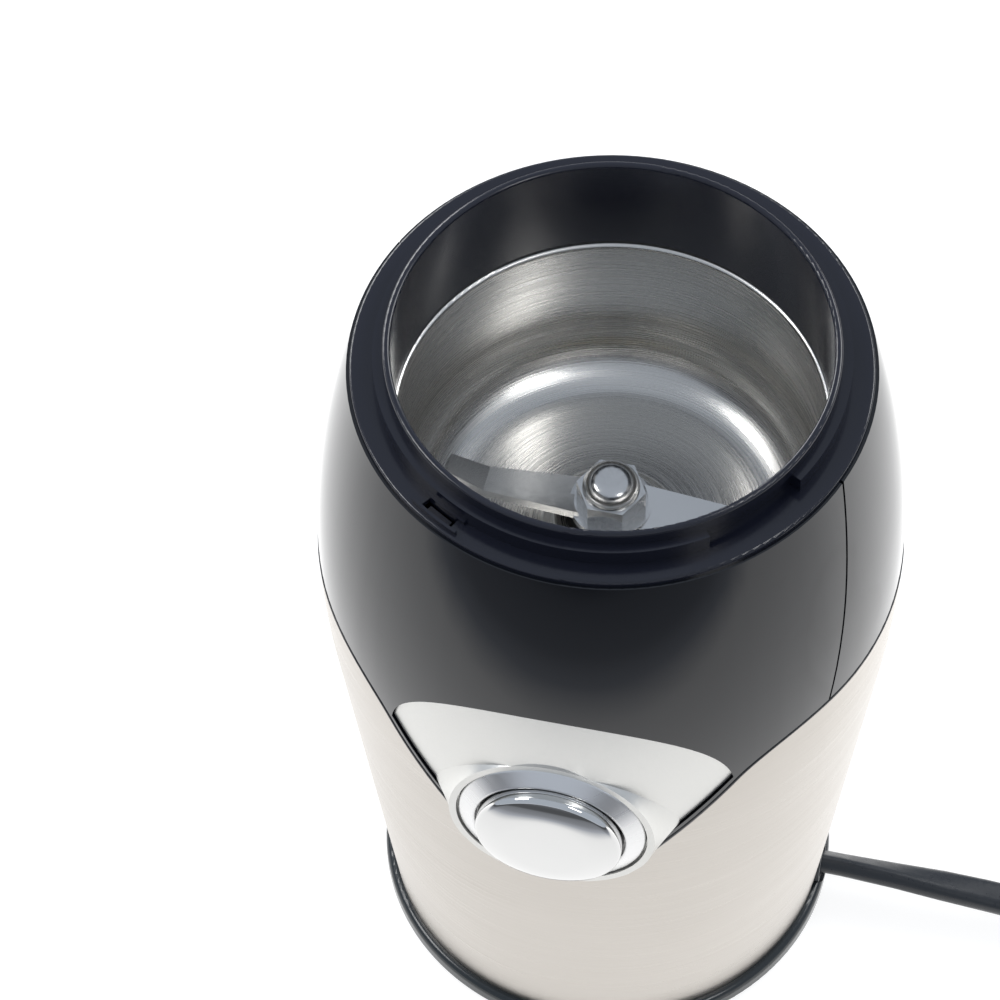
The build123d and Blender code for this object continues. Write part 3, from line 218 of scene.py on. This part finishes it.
def surface(name, skin, scale, colours, roughness, bump, metallic=0.0, ior=1.5, anisotropic=0.0):
    """Material whose colour drifts with the skin's mottle, and whose gloss and relief follow its grain."""
    material = bpy.data.materials.new(name)
    material.use_nodes = True
    tree = material.node_tree
    shader = tree.nodes["Principled BSDF"]
    shader.inputs["Metallic"].default_value = metallic
    shader.inputs["IOR"].default_value = ior
    shader.inputs["Anisotropic"].default_value = anisotropic
    texture = tree.nodes.new("ShaderNodeGroup")
    texture.node_tree = skin
    texture.inputs["Scale"].default_value = scale
    colour = tree.nodes.new("ShaderNodeMix")
    colour.data_type = "RGBA"
    colour.inputs["A"].default_value = (*colours[0], 1)
    colour.inputs["B"].default_value = (*colours[1], 1)
    gloss = tree.nodes.new("ShaderNodeMapRange")
    gloss.inputs["From Min"].default_value = 0.3
    gloss.inputs["From Max"].default_value = 0.7
    gloss.inputs["To Min"].default_value = roughness[0]
    gloss.inputs["To Max"].default_value = roughness[1]
    relief = tree.nodes.new("ShaderNodeBump")
    relief.inputs["Strength"].default_value = bump
    relief.inputs["Distance"].default_value = 0.0002
    tree.links.new(texture.outputs["Mottle"], colour.inputs["Factor"])
    tree.links.new(colour.outputs["Result"], shader.inputs["Base Color"])
    tree.links.new(texture.outputs["Grain"], gloss.inputs["Value"])
    tree.links.new(gloss.outputs["Result"], shader.inputs["Roughness"])
    tree.links.new(texture.outputs["Grain"], relief.inputs["Height"])
    tree.links.new(relief.outputs["Normal"], shader.inputs["Normal"])
    return material


def dress(material, *names):
    """Puts a material on CAD nodes."""
    for name in names:
        for slot in nodes_of_part[name].material_slots:
            slot.material = material


moulded = moulded_skin()
cord_pvc = surface("cord_pvc", moulded, 900, ((0.010, 0.012, 0.016), (0.017, 0.020, 0.025)),
                   (0.26, 0.38), 0.06)
mains_cord.data.materials.append(cord_pvc)
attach(mains_cord, "housing")
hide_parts("cord_lead", "cord_coil", "cord_tail")

# Plug and tie: a moulded two-pin plug in the cord's black, nickelled brass pins, and a soft
# black strap round the coil. Cord, tie and plug are kept out of mirrored reflections, because
# the length that is put away outside the picture would show in the gloss housing.
plug_black = surface("plug_black", moulded, 1500, ((0.014, 0.015, 0.017), (0.024, 0.025, 0.028)),
                     (0.38, 0.52), 0.12)
strap_black = surface("strap_black", moulded, 2600, ((0.012, 0.012, 0.013), (0.03, 0.03, 0.032)),
                      (0.55, 0.75), 0.25)
nickel = surface("nickel", moulded, 700, ((0.62, 0.58, 0.5), (0.74, 0.7, 0.62)),
                 (0.16, 0.28), 0.02, metallic=1.0)
dress(plug_black, "mains_plug")
dress(strap_black, "cord_tie")
dress(nickel, "plug_pins")
for piece in (mains_cord, *(nodes_of_part[name] for name in ("cord_tie", "mains_plug", "plug_pins"))):
    piece.visible_glossy = False

# Underside: a moulded base plate with vents, four rubber feet and three screws,
# held in the foot ring that closes the sleeve. Other rubber parts and screws match these.
base_plastic = surface("base_plastic", moulded, 2200, ((0.022, 0.026, 0.03), (0.034, 0.038, 0.043)),
                       (0.42, 0.58), 0.2)
ring_plastic = surface("ring_plastic", moulded, 1800, ((0.010, 0.014, 0.017), (0.018, 0.023, 0.026)),
                       (0.16, 0.24), 0.03)
foot_rubber = surface("foot_rubber", moulded, 2600, ((0.02, 0.02, 0.021), (0.045, 0.044, 0.043)),
                      (0.7, 0.9), 0.35)
screw_zinc = surface("screw_zinc", moulded, 900, ((0.5, 0.5, 0.5), (0.66, 0.66, 0.64)),
                     (0.26, 0.42), 0.06, metallic=1.0)
dress(base_plastic, "base_plate", "cord_grommet")
dress(ring_plastic, "base_ring")
dress(foot_rubber, "rubber_feet", "motor_dampers", "shaft_seal", "bowl_gasket")
dress(screw_zinc, "base_screws", "clamp_screws", "carrier_screws", "chassis_screws", "motor_screws")


# Motor: a laminated iron stack with two field coils of lacquered copper, a wound armature on the
# shaft, carbon brushes in brass holders, and two steel brackets with sintered bearings.
def turned_metal():
    """Node group of brushed or turned metal: fine lines round the barrel's axis, and a broad drift."""
    tree, scale, leave, where = skin_group("turned_metal")

    def calculate(operation, first, second=None):
        """Output of a math node on one socket, or on a socket and another socket or number."""
        node = tree.nodes.new("ShaderNodeMath")
        node.operation = operation
        tree.links.new(first, node.inputs[0])
        if isinstance(second, float):
            node.inputs[1].default_value = second
        elif second is not None:
            tree.links.new(second, node.inputs[1])
        return node.outputs["Value"]

    apart = tree.nodes.new("ShaderNodeSeparateXYZ")
    tree.links.new(where, apart.inputs["Vector"])
    x, y, z = (apart.outputs[axis] for axis in "XYZ")
    square = calculate("ADD", calculate("MULTIPLY", x, x), calculate("MULTIPLY", y, y))
    across_lines = calculate("ADD", calculate("SQRT", square), z)
    slow_scale = 28.0
    joined = tree.nodes.new("ShaderNodeCombineXYZ")
    tree.links.new(calculate("MULTIPLY", x, slow_scale), joined.inputs["X"])
    tree.links.new(calculate("MULTIPLY", y, slow_scale), joined.inputs["Y"])
    tree.links.new(calculate("MULTIPLY", across_lines, scale), joined.inputs["Z"])
    lines = noise(tree, joined.outputs["Vector"], detail=4.0)
    lines.inputs["Scale"].default_value = 1.0
    drift = noise(tree, where, detail=3.0)
    drift.inputs["Scale"].default_value = 22.0
    tree.links.new(lines.outputs["Fac"], leave.inputs["Grain"])
    tree.links.new(drift.outputs["Fac"], leave.inputs["Mottle"])
    return tree


turned = turned_metal()
iron = surface("laminated_iron", turned, 1600, ((0.2, 0.2, 0.21), (0.3, 0.3, 0.31)),
               (0.38, 0.55), 0.3, metallic=1.0)
copper = surface("lacquered_copper", turned, 1500, ((0.5, 0.2, 0.09), (0.66, 0.29, 0.13)),
                 (0.2, 0.34), 0.6, metallic=1.0)
bronze = surface("sintered_bronze", moulded, 3000, ((0.42, 0.27, 0.12), (0.52, 0.35, 0.17)),
                 (0.4, 0.55), 0.15, metallic=1.0)
brass = surface("brass", turned, 2000, ((0.66, 0.5, 0.22), (0.76, 0.6, 0.3)),
                (0.22, 0.34), 0.06, metallic=1.0)
carbon = surface("carbon", moulded, 2500, ((0.012, 0.012, 0.013), (0.03, 0.03, 0.031)),
                 (0.5, 0.7), 0.2)
pressed_steel = surface("pressed_steel", moulded, 600, ((0.5, 0.51, 0.52), (0.62, 0.62, 0.62)),
                        (0.28, 0.42), 0.06, metallic=1.0)
bright_steel = surface("bright_steel", turned, 2600, ((0.6, 0.6, 0.6), (0.72, 0.72, 0.71)),
                       (0.14, 0.24), 0.05, metallic=1.0)
dress(iron, "stator_core", "armature_core")
dress(copper, "field_coils", "armature_windings", "commutator")
dress(bronze, "upper_bearing", "lower_bearing")
dress(brass, "brush_holders", "blade_spacer")
dress(carbon, "carbon_brushes")
dress(pressed_steel, "upper_bracket", "lower_bracket")
dress(bright_steel, "drive_shaft")

# Springs: two small coils of steel wire, one behind the button and one under the safety tab.
# Each stands on its switch side.
spring_turns, spring_steps, wire_sides = 4, 28, 10


def wire_spring(name, node, along_axis, coil_radius, wire_radius):
    """Wire coil that stands for a CAD spring between the ends of its box."""
    low, high = (Vector(corner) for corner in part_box(node))
    middle = (low + high) / 2
    axis = Vector((0, 0, 0))
    axis[along_axis] = 1
    length = (high - low)[along_axis]
    sideways = Vector((1, 0, 0))
    upward = axis.cross(sideways)
    count = spring_turns * spring_steps
    rings = []
    for k in range(count + 1):
        angle = 2 * math.pi * k / spring_steps
        outward = sideways * math.cos(angle) + upward * math.sin(angle)
        centre = middle + outward * coil_radius + axis * (length - 2 * wire_radius) * (k / count - 0.5)
        ring = []
        for side in reversed(range(wire_sides)):
            side_angle = 2 * math.pi * side / wire_sides
            around = outward * math.cos(side_angle) + axis * math.sin(side_angle)
            ring.append(centre + around * wire_radius)
        rings.append(ring)
    coil = ring_piece(name, rings)
    coil.data.materials.append(bright_steel)
    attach(coil, "housing")
    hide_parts(node)
    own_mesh(coil)


wire_spring("button_coil_spring", "button_spring", along_axis=1,
            coil_radius=0.007, wire_radius=0.00045)
wire_spring("tab_coil_spring", "interlock_spring", along_axis=2,
            coil_radius=0.00175, wire_radius=0.00025)

# Chassis: one natural-coloured moulding that carries bowl, motor and switches,
# with the cord's clamp bar in the same plastic, and the two switches in black.
natural = surface("natural_plastic", moulded, 2000, ((0.6, 0.58, 0.52), (0.7, 0.68, 0.62)),
                  (0.4, 0.55), 0.12)
dress(natural, "inner_chassis", "switch_carrier", "switch_plunger", "cord_clamp")
dress(base_plastic, "power_switch", "interlock_switch")

# Bowl and blade: a drawn stainless bowl with a turned inside, and a flat stamped blade
# with pitched wings under a domed nut.
bowl_steel = surface("bowl_steel", turned, 4200, ((0.56, 0.55, 0.53), (0.68, 0.67, 0.65)),
                     (0.2, 0.34), 0.1, metallic=1.0, anisotropic=0.4)
blade_steel = surface("blade_steel", moulded, 900, ((0.55, 0.55, 0.55), (0.68, 0.68, 0.67)),
                      (0.12, 0.26), 0.04, metallic=1.0)
dress(bowl_steel, "grinding_bowl")
dress(blade_steel, "blade", "blade_nut")

# Sleeve: brushed stainless sheet rolled into a cone, its fine lines running round the barrel,
# with a warm tone and a soft, slightly stretched sheen.
sleeve_steel = surface("sleeve_steel", turned, 5200, ((0.497, 0.465, 0.424), (0.577, 0.543, 0.502)),
                       (0.26, 0.42), 0.12, metallic=1.0, anisotropic=0.5)
dress(sleeve_steel, "steel_body")

# Upper housing: two high-gloss black shells that meet in a slanted seam on each side.
# The seam shows as the narrow gap between the two solids.
gloss_black = surface("gloss_black", moulded, 300, ((0.0028, 0.0036, 0.0060), (0.0038, 0.0048, 0.0076)),
                      (0.02, 0.05), 0.004, ior=1.52)
dress(gloss_black, "upper_housing_front", "upper_housing_rear")

# Parting shade line: a thin black strip laid in the gap between sleeve and housing,
# all round the barrel and down along the V at the front, as painted shade for the shadow in that gap.
# Its line is the sleeve's upper edge, drawn flat from the front and found on the sleeve's mesh by rays.
parting_height, notch_round_height = 0.0956, 0.0786
notch_round_radius, notch_flare_radius = 0.0175, 0.0155
notch_slope = math.radians(56)
arc_steps, straight_steps, level_steps = 20, 16, 60
on_steel, half_gap = 0.00025, 0.00027
edge_z = parting_height - on_steel
round_radius = notch_round_radius + on_steel
flare_radius = notch_flare_radius - on_steel
apex_z = notch_round_height - round_radius / math.cos(notch_slope)
flare_x = (edge_z - apex_z) / math.tan(notch_slope) + flare_radius * math.tan(notch_slope / 2)
edge_line = []
for step in range(arc_steps + 1):
    angle = notch_slope * step / arc_steps
    edge_line.append((round_radius * math.sin(angle), notch_round_height - round_radius * math.cos(angle)))
run_start = Vector(edge_line[-1])
run_end = Vector((flare_x - flare_radius * math.sin(notch_slope),
                  edge_z - flare_radius * (1 - math.cos(notch_slope))))
for step in range(1, straight_steps + 1):
    edge_line.append(run_start.lerp(run_end, step / straight_steps))
for step in range(1, arc_steps + 1):
    angle = notch_slope * (1 - step / arc_steps)
    edge_line.append((flare_x - flare_radius * math.sin(angle),
                      edge_z - flare_radius * (1 - math.cos(angle))))
sleeve = nodes_of_part["steel_body"].data
sleeve_tree = BVHTree.FromPolygons([v.co for v in sleeve.vertices],
                                   [list(f.vertices) for f in sleeve.polygons])
ray_start, ray_length = 0.2, 0.155


def sleeve_point(start, heading):
    """Place and facing where a ray meets the sleeve, or the nearest ones if it slips between two faces."""
    place, facing = sleeve_tree.ray_cast(start, heading)[:2]
    if place is None:
        place, facing = sleeve_tree.find_nearest(start + heading * ray_length)[:2]
    return place, facing


half_edge = [sleeve_point(Vector((x, -ray_start, z)), Vector((0, 1, 0))) for x, z in edge_line]
level_from = math.atan2(half_edge[-1][0].x, -half_edge[-1][0].y)
for step in range(1, level_steps + 1):
    angle = level_from + (math.pi - level_from) * step / level_steps
    outward = Vector((math.sin(angle), -math.cos(angle), 0))
    half_edge.append(sleeve_point(outward * ray_start + Vector((0, 0, edge_z)), -outward))
mirror = Vector((-1, 1, 1))
whole_edge = half_edge + [(place * mirror, facing * mirror) for place, facing in reversed(half_edge[1:-1])]
bead_section = [
    (-0.00038, -0.0001), (-0.00032, 0.00006), (-0.00016, 0.00013), (0, 0.00015),
    (0.00016, 0.00013), (0.00032, 0.00006), (0.00038, -0.0001), (0, -0.0003),
]
bead_shift = on_steel + half_gap
bead_rings = []
for k, (place, facing) in enumerate(whole_edge):
    along_edge = (whole_edge[(k + 1) % len(whole_edge)][0] - whole_edge[k - 1][0]).normalized()
    uphill = facing.cross(along_edge).normalized()
    uphill *= math.copysign(1, uphill.z)
    bead_rings.append([place + uphill * (bead_shift + over) + facing * out
                       for over, out in reversed(bead_section)])
# The strip's black is painted shade: it darkens the gap as the shadow there would.
shade_strip_black = surface("shade_strip_black", moulded, 2600, ((0.004, 0.005, 0.007), (0.007, 0.008, 0.011)),
                      (0.3, 0.42), 0.02)
parting_shade_strip = ring_piece("parting_shade_strip", bead_rings, closed=True)
parting_shade_strip.data.materials.append(shade_strip_black)
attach(parting_shade_strip, "housing")

# Switch panel, bezel and button: a satin silver plate with a raised boss, a turned metal ring
# and a polished push button with a nearly flat face and soft shoulders.
panel_silver = surface("panel_silver", moulded, 2400, ((0.70, 0.695, 0.67), (0.75, 0.745, 0.72)),
                       (0.30, 0.38), 0.008, metallic=0.9)
bezel_metal = surface("bezel_metal", turned, 3000, ((0.80, 0.80, 0.80), (0.84, 0.84, 0.84)),
                      (0.26, 0.32), 0.004, metallic=1.0)
button_chrome = surface("button_chrome", moulded, 700, ((0.70, 0.70, 0.695), (0.75, 0.75, 0.745)),
                        (0.03, 0.05), 0.002, metallic=1.0)
dress(panel_silver, "switch_panel")
dress(bezel_metal, "button_bezel")
button_low, button_high = (Vector(corner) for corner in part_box("power_button"))
button_middle_z = (button_low.z + button_high.z) / 2
face_radius, face_crown_radius = 0.0065, 0.15
shoulder_radius, shoulder_end = 0.012, 0.0112
cap_radius = 0.0118
face_steps, shoulder_steps, edge_steps, cap_sides = 6, 12, 8, 96
cap_profile = []
for step in range(face_steps + 1):
    out = face_radius * step / face_steps
    cap_profile.append((out, face_crown_radius - math.sqrt(face_crown_radius ** 2 - out ** 2)))
face_depth = cap_profile[-1][1]
lean = math.asin(face_radius / face_crown_radius)
for step in range(1, shoulder_steps + 1):
    out = (shoulder_end - face_radius) * step / shoulder_steps
    further = math.asin(math.sin(lean) + out / shoulder_radius)
    cap_profile.append((face_radius + out,
                        face_depth + shoulder_radius * (math.cos(lean) - math.cos(further))))
edge_rounding = (cap_radius - shoulder_end) / (1 - math.sin(further))
edge_depth = cap_profile[-1][1]
for step in range(1, edge_steps + 1):
    turned_by = further + (math.pi / 2 - further) * step / edge_steps
    cap_profile.append((shoulder_end + edge_rounding * (math.sin(turned_by) - math.sin(further)),
                        edge_depth + edge_rounding * (math.cos(further) - math.cos(turned_by))))
flange_radius, flange_depth, flange_foot_depth, stem_radius = 0.0129, 0.006, 0.007, 0.0026
stem_depth = button_high.y - button_low.y
cap_profile += [(cap_radius, flange_depth), (flange_radius, flange_depth), (flange_radius, flange_foot_depth),
                (stem_radius, flange_foot_depth), (stem_radius, stem_depth)]
cap_vertices = [(0, button_low.y, button_middle_z)]
for out, depth in cap_profile[1:]:
    for side in range(cap_sides):
        angle = 2 * math.pi * side / cap_sides
        cap_vertices.append((out * math.cos(angle), button_low.y + depth,
                             button_middle_z + out * math.sin(angle)))
cap_faces = [(0, 1 + side, 1 + (side + 1) % cap_sides) for side in range(cap_sides)]
rings = len(cap_profile) - 1
for ring in range(rings - 1):
    inner, outer = 1 + ring * cap_sides, 1 + (ring + 1) * cap_sides
    for side in range(cap_sides):
        after = (side + 1) % cap_sides
        cap_faces.append((inner + side, outer + side, outer + after, inner + after))
cap_faces.append(tuple(1 + (rings - 1) * cap_sides + side for side in reversed(range(cap_sides))))
cap_mesh = bpy.data.meshes.new("push_button")
cap_mesh.from_pydata(cap_vertices, [], cap_faces)
cap_mesh.shade_smooth()
cap_mesh.set_sharp_from_angle(angle=math.radians(40))
cap_mesh.materials.append(button_chrome)
push_button = bpy.data.objects.new("push_button", cap_mesh)
bpy.context.scene.collection.objects.link(push_button)
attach(push_button, "button")
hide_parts("power_button")

# Collar: the satin black ring that takes the lid, with its lip and bayonet rib,
# and the tab of the lid's safety switch in its slot.
collar_black = surface("collar_black", moulded, 2200, ((0.006, 0.007, 0.0135), (0.010, 0.0115, 0.020)),
                       (0.14, 0.21), 0.02)
dress(collar_black, "collar_ring", "interlock_pin")

# Table and light: the camera sees a plain white table, and sees through it from below. In mirrors
# it glows like an overlit studio sweep and fades towards the viewer and far behind the grinder.
# A pale sky lies all round, and four soft boxes make the highlights on the edges.
table_half = 6.0
table_corners = [(-table_half, -table_half, 0), (table_half, -table_half, 0),
                 (table_half, table_half, 0), (-table_half, table_half, 0)]
table_mesh = bpy.data.meshes.new("table")
table_mesh.from_pydata(table_corners, [], [(0, 1, 2, 3)])
table = bpy.data.objects.new("table", table_mesh)
bpy.context.scene.collection.objects.link(table)
white = bpy.data.materials.new("white_table")
white.use_nodes = True
white_tree = white.node_tree
white_shader = white_tree.nodes["Principled BSDF"]
white_shader.inputs["Roughness"].default_value = 1.0
white_shader.inputs["Specular IOR Level"].default_value = 0.0
white_shader.inputs["Emission Strength"].default_value = 1.6
table_place = white_tree.nodes.new("ShaderNodeTexCoord")
table_axes = white_tree.nodes.new("ShaderNodeSeparateXYZ")
table_depth = white_tree.nodes.new("ShaderNodeMapRange")
glow_from, glow_to, bluish_until = -1.95, 0.45, -0.15
table_depth.inputs["From Min"].default_value = glow_from
table_depth.inputs["From Max"].default_value = glow_to
table_glow = white_tree.nodes.new("ShaderNodeValToRGB")
glow_stops = [
    (-1.90, 0.60), (-1.0, 0.10), (-0.42, 0.02), (-0.31, 0.02), (-0.285, 0.09), (-0.21, 0.14), (-0.178, 0.26),
    (-0.138, 0.63), (-0.085, 0.68), (-0.045, 0.71), (-0.015, 0.77), (0.01, 0.85), (0.035, 0.93),
    (0.065, 0.98), (0.10, 0.95), (0.135, 0.80), (0.175, 0.62), (0.26, 0.40), (0.42, 0.30),
]
ramp = table_glow.color_ramp
while len(ramp.elements) < len(glow_stops):
    ramp.elements.new(0.5)
for stop, (depth, glow) in zip(ramp.elements, glow_stops):
    stop.position = (depth - glow_from) / (glow_to - glow_from)
    tint = (0.93, 0.98, 1.09) if depth < bluish_until else (1, 1, 1)
    stop.color = (*(glow * part for part in tint), 1)
white_tree.links.new(table_place.outputs["Object"], table_axes.inputs["Vector"])
white_tree.links.new(table_axes.outputs["Y"], table_depth.inputs["Value"])
white_tree.links.new(table_depth.outputs["Result"], table_glow.inputs["Fac"])
table_seen = white_tree.nodes.new("ShaderNodeLightPath")


def seen_as(grey, socket):
    """Mix that gives a socket one grey for the camera, and what comes in at A for everything else."""
    mix = white_tree.nodes.new("ShaderNodeMix")
    mix.data_type = "RGBA"
    mix.inputs["B"].default_value = (grey, grey, grey, 1)
    white_tree.links.new(table_seen.outputs["Is Camera Ray"], mix.inputs["Factor"])
    white_tree.links.new(mix.outputs["Result"], white_shader.inputs[socket])
    return mix.inputs["A"]


white_tree.links.new(table_glow.outputs["Color"], seen_as(0.52, "Emission Color"))
seen_as(0.30, "Base Color").default_value = (0.06, 0.06, 0.06, 1)
table_side = white_tree.nodes.new("ShaderNodeNewGeometry")
table_solid = white_tree.nodes.new("ShaderNodeMath")
table_solid.operation = "SUBTRACT"
table_solid.inputs[0].default_value = 1.0
white_tree.links.new(table_side.outputs["Backfacing"], table_solid.inputs[1])
white_tree.links.new(table_solid.outputs["Value"], white_shader.inputs["Alpha"])
table.data.materials.append(white)


def soft_box(name, place, size, power):
    """Rectangular area light that faces the upper part of the grinder."""
    data = bpy.data.lights.new(name, "AREA")
    data.shape = "RECTANGLE"
    data.size, data.size_y = size
    data.energy = power
    light = bpy.data.objects.new(name, data)
    bpy.context.scene.collection.objects.link(light)
    light.location = place
    light.rotation_euler = (light_aim - Vector(place)).to_track_quat("-Z", "Y").to_euler()


light_aim = Vector((0, 0, 0.12))
soft_box("left_box", (-0.9, -0.1, 1.0), size=(0.45, 0.45), power=5)
soft_box("right_box", (0.8, -0.5, 1.2), size=(0.3, 0.5), power=3)
soft_box("back_right_box", (0.75, 0.95, 0.95), size=(0.9, 0.6), power=10)
soft_box("back_left_box", (-0.95, 0.87, 0.65), size=(0.9, 0.6), power=12)
world = bpy.data.worlds.new("studio")
world.use_nodes = True
sky = world.node_tree.nodes["Background"]
sky.inputs["Color"].default_value = (0.80, 0.88, 1.0, 1)
sky.inputs["Strength"].default_value = 0.6
bpy.context.scene.world = world
